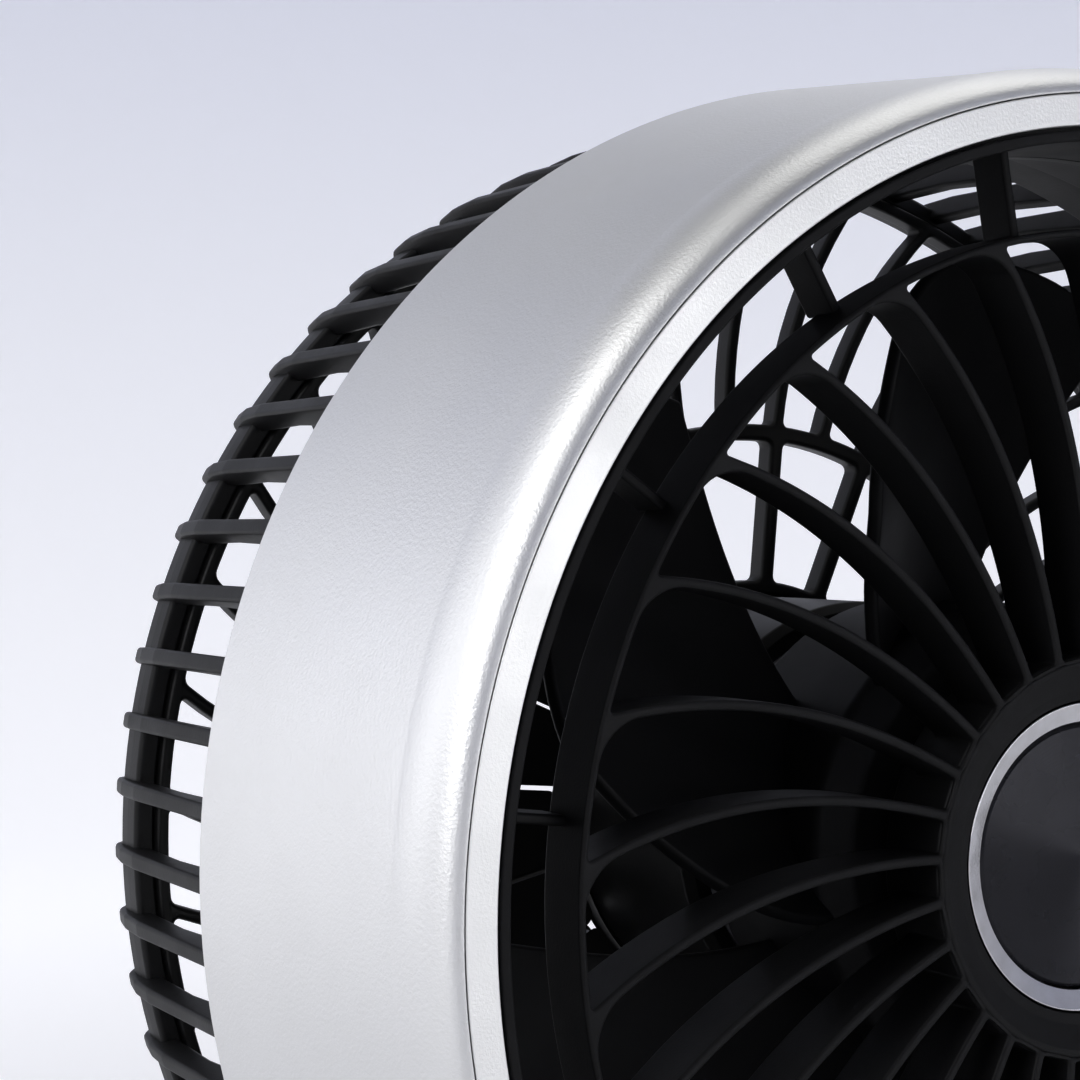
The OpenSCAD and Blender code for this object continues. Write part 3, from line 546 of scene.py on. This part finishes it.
# Moulded ABS of the rear cage: dark grey, satin, its ribs catch the light in thin lines
basketAbs = surface("basketAbs", {
    "colour": "#111112", "shade": "#0E0E0F", "rough": (0.42, 0.52),
    "patch": 8, "grain": 0.25, "relief": 0.012,
    "sockets": {"Specular IOR Level": 0.16}})
basket = {"ribs": 70, "ribT": 1.4, "phase": 1.3, "edge": 0.35}
cageRib = plate("cageRib", [softened([
    (61.3, 33.4), (64.2, 33.4, 0.4), (64.0, 51, 3), (63.6, 55, 2), (62.9, 58, 1.2), (62.1, 58.8, 0.5),
    (61.5, 58.8, 0.3), (61.5, 53.4), (61.9, 45)])], basket["ribT"], basket["edge"], "radial", headCentre)
cageRing = turned("cageRing", softened([
    (60.8, 27.02, 0.1), (62.9, 27.02, 0.1), (62.9, 34.6, 0.4), (60.8, 34.6, 0.4)]), 256)
hoop = turned("hoop", softened([
    (61.1, 53.4, 0.3), (62.8, 53.4, 0.5), (62.75, 55.4, 1), (62.6, 57.4, 0.6), (61.1, 57.4, 0.4)]), 256)
ribPitch = 360 / basket["ribs"]
rearCage = joined("rearCage", cageRing, hoop,
                  *around(cageRib, [basket["phase"] + i * ribPitch for i in range(basket["ribs"])]))
finished(rearCage, "head", "grille_abs", basketAbs, "rear_basket")

motorCup = turned("motorCup", softened([
    (5.5, 35.52), (18.7, 35.52, 0.2), (19.5, 36.3, 0.4), (19.5, 55.4, 0.35), (18, 55.4, 0.25),
    (18, 37.5, 0.6), (5.5, 37.5)]), 200)
finished(motorCup, "head", "inner_abs", innerAbs, "motor_housing")
motorLid = turned("motorLid", softened([
    (0, 54.9), (12.6, 54.9, 0.3), (13.1, 54.5, 0.3), (14.4, 54.5, 0.3), (14.9, 55.2, 0.3), (17.85, 55.2, 0.4),
    (17.85, 52.4), (16.45, 52.4), (16.45, 54), (0, 54)], closed=False), 200)
finished(motorLid, "head", "inner_abs", basketAbs, "motor_cover")
print("rear done")


# ---- base, neck and knuckle ----

standAbs = surface("standAbs", {
    "colour": "#121213", "shade": "#0F0F10", "rough": (0.42, 0.52),
    "patch": 9, "grain": 0.22, "relief": 0.014})
base = {"r": 48, "bottom": 1.5, "top": 16, "edge": 5, "wall": 1.6, "buttonY": -36, "buttonHole": 6.1}
up = (0, 0, 1)
origin = Vector((0, 0, 0))
baseShell = turned("baseShell", softened([
    (base["r"], base["bottom"], 0.3), (base["r"], base["top"], base["edge"]), (0, base["top"]),
    (0, base["top"] - base["wall"]),
    (base["r"] - base["wall"], base["top"] - base["wall"], base["edge"] - base["wall"]),
    (base["r"] - base["wall"], base["bottom"], 0.3)], steps=14), 320, origin, up)

# The button's hole has a rounded mouth, the inlet's window is a rounded slot
buttonMiddle = Vector((0, base["buttonY"] * mm, 0))
mouth = turned("mouth", softened([(0, 12), (base["buttonHole"], 12), (base["buttonHole"], 15.5),
                                  (base["buttonHole"] + 0.1, 15.75), (base["buttonHole"] + 0.5, 16.01),
                                  (base["buttonHole"] + 0.5, 17), (0, 17)],
                                 closed=False), 96, buttonMiddle, up)
cutOut(baseShell, mouth)
socketLow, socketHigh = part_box("usb_socket")
socketMiddle = (socketLow + socketHigh) / 2
inlet = {"half": 4.65, "rise": 1.75, "corner": 1.74, "depth": 8, "y": 47}
inletOutline = softened([(x * inlet["half"], z * inlet["rise"], inlet["corner"])
                         for x, z in ((-1, -1), (1, -1), (1, 1), (-1, 1))], steps=8)
inletMiddle = Vector((0, inlet["y"] * mm, socketMiddle.z))
slot = plate("slot", [inletOutline], inlet["depth"], 0.01, "front", inletMiddle)
cutOut(baseShell, slot)
finished(baseShell, "base", "blasted_aluminium", blastedAluminium, "base_shell")

# Rubber foot: matt black with faint grooves
footRubber = surface("footRubber", {
    "colour": "#1B1B1B", "shade": "#222222", "rough": (0.7, 0.85), "patch": 5, "grain": 0.5, "relief": 0.03})
footRing = turned("footRing", softened([
    (30.5, 0, 0.5), (32.6, 0, 0.2), (32.8, 0.4, 0.2), (34.2, 0.4, 0.2), (34.4, 0, 0.2), (36.5, 0, 0.5),
    (36.5, 2), (30.5, 2)]), 160, origin, up)
finished(footRing, "base", "foot_rubber", footRubber, "foot_ring")

# Anodised button with a shallow dish
buttonAluminium = surface("buttonAluminium", {
    "colour": "#D2D2D6", "shade": "#C6C6CB", "metallic": 1, "rough": (0.28, 0.36),
    "patch": 4, "grain": 0.2, "relief": 0.008})
powerButton = turned("powerButton", softened([
    (0, 16.45), (2, 16.5, 4), (4.6, 16.86, 2), (5.2, 16.9, 0.4), (5.8, 16.9, 0.5), (5.8, 14.1),
    (7.15, 14.1, 0.2), (7.15, 13.02, 0.2), (0, 13.02)], closed=False), 128, buttonMiddle, up)
finished(powerButton, "button", "button_aluminium", buttonAluminium, "power_button")

pivotLow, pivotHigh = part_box("friction_washers")
pivot = (pivotLow + pivotHigh) / 2
neck = {"footR": 15, "topR": 13.5, "footTop": 18, "earIn": 5, "earT": 4, "earR": 6.5, "edge": 0.7}
neckFoot = turned("neckFoot", softened([
    (0, 16), (neck["footR"], 16, 0.3), (neck["topR"] + 0.3, neck["footTop"], 1), (0, neck["footTop"])],
    closed=False), 160, Vector((0, pivot.y, 0)), up)
pivotRise = pivot.z / mm
earOutline = [polar(neck["earR"], a) + Vector((0, pivotRise)) for a in range(0, 181, 9)]
earOutline += softened([(-neck["earR"], 19.6, 2), (-8.4, 17.6, 0.3),
                        (8.4, 17.6, 0.3), (neck["earR"], 19.6, 2)], steps=6)
ears = []
for side in (-1, 1):
    across = side * (neck["earIn"] + neck["earT"] / 2) * mm
    earMiddle = Vector((across, pivot.y, 0))
    ears.append(plate("ear", [earOutline], neck["earT"], neck["edge"], "side", earMiddle, 3))
neckPiece = joined("neckPiece", neckFoot, *ears)
finished(neckPiece, "base", "stand_abs", standAbs, "neck")

# Lug that turns between the ears and the saddle that carries the drum
lug = {"r": 5.9, "half": 4.4, "saddleHalf": 11, "saddleLow": 29.3, "edge": 0.6, "seat": 0.05}
lugOutline = [polar(lug["r"], a) + Vector((0, pivotRise)) for a in range(180, 361, 9)]
lugOutline += softened([(lug["r"], 27, 0), (lug["r"], lug["saddleLow"], 1.2),
                        (lug["saddleHalf"], lug["saddleLow"], 0.8),
                        (lug["saddleHalf"], 36, 0), (-lug["saddleHalf"], 37, 0),
                        (-lug["saddleHalf"], lug["saddleLow"], 0.8), (-lug["r"], lug["saddleLow"], 1.2),
                        (-lug["r"], 27, 0)])
knuckle = plate("knuckle", [lugOutline], 2 * lug["half"], lug["edge"], "side", Vector((0, pivot.y, 0)), 3)
seat = turned("seat", [(0, 6), (62.6 + lug["seat"], 6), (66.02 + lug["seat"], 39), (0, 39)], 360)
cutOut(knuckle, seat)
finished(knuckle, "head", "stand_abs", standAbs, "tilt_knuckle")

# Turned steel pin with a hexagon socket, nickel bright
pinSteel = surface("pinSteel", {
    "colour": "#BDBDBE", "shade": "#A9A9AB", "metallic": 1, "rough": (0.2, 0.32),
    "patch": 3, "grain": 0.4, "relief": 0.003})
sideways = (1, 0, 0)
pinPiece = turned("pinPiece", softened([
    (0, -11), (4.5, -11, 0.6), (4.5, -9.02, 0.1), (2.5, -9.02), (2.5, 10.5), (0, 10.5)],
    closed=False), 96, pivot, sideways)
hexagon = [[p[0] + pivot.y / mm, p[1] + pivotRise] for p in circleOf(1.9, 6)]
cutOut(pinPiece, plate("hexagon", [hexagon], 3.2, 0.01, "side", Vector((-11 * mm, 0, 0))))
finished(pinPiece, "base", "zinc_steel", pinSteel, "tilt_pin")
nutPiece = turned("nutPiece", softened([
    (0, 10.62), (2.52, 10.62), (2.52, 9.02), (4.5, 9.02, 0.1), (4.5, 11, 0.7), (0, 11)],
    closed=False), 96, pivot, sideways)
finished(nutPiece, "base", "zinc_steel", pinSteel, "pin_nut")

tongue = block("usbTongue", (-3.3 * mm, socketHigh.y - 6.25 * mm, socketMiddle.z - 0.35 * mm),
               (3.3 * mm, socketHigh.y - 0.7 * mm, socketMiddle.z + 0.35 * mm), 0.12)
finished(tongue, "base", "inner_abs", innerAbs)
print("stand done")


# ---- finishes of the pieces kept from the model ----

# Black phosphate screws: dark, dry metal
blackSteel = surface("blackSteel", {
    "colour": "#3A3A3D", "shade": "#2C2C2F", "metallic": 1, "rough": (0.4, 0.55),
    "patch": 1, "grain": 0.15, "relief": 0.01})
# Zinc plated sheet: pale and slightly clouded
zincSteel = surface("zincSteel", {
    "colour": "#B9BABD", "shade": "#9FA1A6", "metallic": 1, "rough": (0.28, 0.42),
    "patch": 2, "grain": 0.3, "relief": 0.004})
# Ground bearing steel: bright and smooth
bearingSteel = surface("bearingSteel", {
    "colour": "#C9C9CB", "shade": "#BEBEC1", "metallic": 1, "rough": (0.14, 0.22),
    "patch": 3, "grain": 0.3, "relief": 0.002})
# Sintered ferrite: charcoal, dull, granular
ferrite = surface("ferrite", {
    "colour": "#2B2827", "shade": "#3A3634", "rough": (0.55, 0.7),
    "patch": 1.5, "grain": 0.3, "relief": 0.02})
# Die cast aluminium: grey with a cast skin
castAluminium = surface("castAluminium", {
    "colour": "#9B9CA0", "shade": "#86878B", "metallic": 1, "rough": (0.4, 0.55),
    "patch": 3, "grain": 0.5, "relief": 0.03})
# Turned iron weight: dull grey with an oily cloud
weightIron = surface("weightIron", {
    "colour": "#5E5C5A", "shade": "#4A4644", "metallic": 1, "rough": (0.42, 0.6),
    "patch": 6, "grain": 0.6, "relief": 0.03})
# Natural acetal: milky and waxy
acetal = surface("acetal", {
    "colour": "#E6E1D3", "shade": "#DDD6C4", "rough": (0.35, 0.45), "patch": 3, "grain": 0.4, "relief": 0.004,
    "sockets": {"Subsurface Weight": 0.2, "Subsurface Scale": 0.001}})


# Adds a second relief of straight lines to a finish: lamination edges or wound wire
def lined(material, gap, depth, direction):
    tree = material.node_tree
    shader = next(n for n in tree.nodes if n.type == "BSDF_PRINCIPLED")
    grain = shader.inputs["Normal"].links[0].from_socket
    place = addNode(tree, "ShaderNodeTexCoord").outputs["Object"]
    lines = addNode(tree, "ShaderNodeTexWave", {"wave_type": "BANDS", "bands_direction": direction},
                    {"Scale": math.pi / 10 / (gap * mm)}, {"Vector": place})
    addNode(tree, "ShaderNodeBump", values={"Distance": depth * mm},
            links={"Height": lines.outputs["Fac"], "Normal": grain})
    tree.links.new(tree.nodes[-1].outputs["Normal"], shader.inputs["Normal"])
    return material


# Silicon steel laminations, 0.5 mm, seen on edge as fine lines
siliconSteel = lined(surface("siliconSteel", {
    "colour": "#8F9196", "shade": "#7C7E84", "metallic": 1, "rough": (0.3, 0.45),
    "patch": 2, "grain": 0.3, "relief": 0.003}), 0.5, 0.05, "Y")
# Enamelled copper wire, 0.4 mm, amber varnish over metal
enamelledCopper = lined(surface("enamelledCopper", {
    "colour": "#B5622F", "shade": "#9C4F24", "metallic": 1, "rough": (0.18, 0.3),
    "patch": 2, "grain": 0.4, "relief": 0.003,
    "sockets": {"Coat Weight": 0.6, "Coat Roughness": 0.1}}), 0.4, 0.1, "Y")


# Circuit board: green solder mask over glass cloth, with paler tracks under it
def circuitBoard():
    material = surface("circuitBoard", {
        "colour": "#1F5A36", "shade": "#1A4E2F", "rough": (0.25, 0.35),
        "patch": 5, "grain": 0.4, "relief": 0.004,
        "sockets": {"Coat Weight": 0.4, "Coat Roughness": 0.15}})
    tree = material.node_tree
    shader = next(n for n in tree.nodes if n.type == "BSDF_PRINCIPLED")
    green = shader.inputs["Base Color"].links[0].from_socket
    place = addNode(tree, "ShaderNodeTexCoord").outputs["Object"]
    cells = addNode(tree, "ShaderNodeTexVoronoi", {"distance": "MANHATTAN", "feature": "DISTANCE_TO_EDGE"},
                    {"Scale": 1 / (2.2 * mm)}, {"Vector": place})
    tracks = addNode(tree, "ShaderNodeMapRange", values={
        "From Min": 0.06, "From Max": 0.09, "To Min": 1, "To Max": 0},
        links={"Value": cells.outputs["Distance"]})
    mask = addNode(tree, "ShaderNodeMix", {"data_type": "RGBA"}, {7: linear("#3E8A55")},
                   {0: tracks.outputs["Result"], 6: green})
    tree.links.new(mask.outputs[2], shader.inputs["Base Color"])
    return material


boardGreen = circuitBoard()
keptFinishes = {
    blackSteel: ["grille_screws", "basket_screws", "motor_screws", "knuckle_screws", "neck_screws",
                 "plate_screws", "shaft_clip"],
    zincSteel: ["rotor_can", "usb_socket"],
    bearingSteel: ["motor_shaft", "front_bearing", "rear_bearing"],
    ferrite: ["magnet_ring"],
    siliconSteel: ["stator_core"],
    enamelledCopper: ["stator_coils"],
    castAluminium: ["motor_mount"],
    boardGreen: ["motor_board", "control_board", "switch_board"],
    acetal: ["friction_washers"],
    weightIron: ["base_weight"],
    standAbs: ["base_plate"],
    innerAbs: ["button_switch"],
}
for finish, nodes in keptFinishes.items():
    for node in nodes:
        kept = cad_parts[node]
        if not kept.material_slots:
            kept.data.materials.append(finish)
        for place in kept.material_slots:
            place.material = finish
print("kept pieces finished")


# ---- floor and light ----

stage = {"floor": 0.75, "bend": 0.6, "wall": 1.1, "glow": 0.4}
sweepProfile = [(0, 0), (stage["floor"] / mm, 0)]
for i in range(1, 17):
    a = math.pi / 2 * i / 16
    sweepProfile.append(((stage["floor"] + stage["bend"] * math.sin(a)) / mm,
                         stage["bend"] * (1 - math.cos(a)) / mm))
sweepProfile.append(((stage["floor"] + stage["bend"]) / mm, (stage["bend"] + stage["wall"]) / mm))


def openBowl(name, profile):
    pickOnly()
    bpy.ops.mesh.primitive_circle_add(vertices=128, radius=profile[1][0] * mm, fill_type="NGON")
    piece = named(bpy.context.active_object, name)
    bpy.ops.object.mode_set(mode="EDIT")
    bpy.ops.mesh.select_all(action="SELECT")
    bpy.ops.mesh.delete(type="ONLY_FACE")
    bpy.ops.mesh.select_all(action="SELECT")
    bpy.ops.mesh.edge_face_add()
    bpy.ops.mesh.select_all(action="SELECT")
    for (r0, z0), (r1, z1) in zip(profile[1:], profile[2:]):
        if z0 == 0:
            bpy.ops.mesh.region_to_loop()
        bpy.ops.mesh.extrude_edges_move(TRANSFORM_OT_translate={"value": (0, 0, (z1 - z0) * mm)})
        bpy.ops.transform.resize(value=(r1 / r0, r1 / r0, 1), center_override=(0, 0, z1 * mm))
    bpy.ops.object.mode_set(mode="OBJECT")
    bpy.ops.object.shade_smooth()
    return piece


sweep = openBowl("sweep", sweepProfile)
paper = bpy.data.materials.new("studioPaper")  # seamless paper, paler towards the floor: painted shade makes it darker and bluer up the wall, and a painted glow on it rises towards the back
paper.use_nodes = True
tree = paper.node_tree
tree.nodes.clear()
place = addNode(tree, "ShaderNodeTexCoord").outputs["Object"]
parts = addNode(tree, "ShaderNodeSeparateXYZ", links={"Vector": place})
height = addNode(tree, "ShaderNodeMapRange", values={"From Min": 0, "From Max": 0.45},
                 links={"Value": parts.outputs["Z"]})
# painted shade: the paper's colour goes from #F4F4F6 at the floor to #D2D4DE up the wall
paperWithPaintedShade = addNode(tree, "ShaderNodeMix", {"data_type": "RGBA"}, {6: linear("#F4F4F6"), 7: linear("#D2D4DE")},
               {0: height.outputs["Result"]})
# painted glow: the paper emits its own colour, rising from nothing to the stage's glow towards the back
back = addNode(tree, "ShaderNodeMapRange", {"interpolation_type": "SMOOTHSTEP"},
               {"From Min": 0.1, "From Max": 0.6, "To Min": 0.0, "To Max": stage["glow"]},
               {"Value": parts.outputs["Y"]})
shader = addNode(tree, "ShaderNodeBsdfPrincipled", values={"Roughness": 0.9, "Specular IOR Level": 0.1},
                 links={"Base Color": paperWithPaintedShade.outputs[2], "Emission Color": paperWithPaintedShade.outputs[2],
                        "Emission Strength": back.outputs["Result"]})
addNode(tree, "ShaderNodeOutputMaterial", links={"Surface": shader.outputs["BSDF"]})
sweep.data.materials.append(paper)

world = bpy.data.worlds.new("studioAir")
bpy.context.scene.world = world
world.use_nodes = True
world.node_tree.nodes["Background"].inputs["Color"].default_value = linear("#EEEFF4")
world.node_tree.nodes["Background"].inputs["Strength"].default_value = 0.05

softboxes = {
    "backLight": {"place": (-0.81, 0.44, 0.34), "size": (0.6, 0.5), "power": 1.0},
    "highLight": {"place": (-0.6, -0.05, 0.85), "size": (0.6, 0.6), "power": 2.6},
    "leftLight": {"place": (-0.85, -0.3, 0.45), "size": (0.4, 0.4), "power": 2.8},
    "topLight": {"place": (0.35, 0.1, 1.05), "size": (0.9, 0.8), "power": 3.0},
    "frontLight": {"place": (0.45, -0.9, 0.05), "size": (0.6, 0.35), "power": 2.4},
}
for name, box in softboxes.items():
    aim = headCentre - Vector(box["place"])
    bpy.ops.object.light_add(type="AREA", location=box["place"],
                             rotation=aim.to_track_quat("-Z", "Y").to_euler())
    light = bpy.context.active_object
    light.name = name
    light.data.shape = "RECTANGLE"
    light.data.size, light.data.size_y = box["size"]
    light.data.energy = box["power"]
    light.visible_camera = False
print("stage and light set")
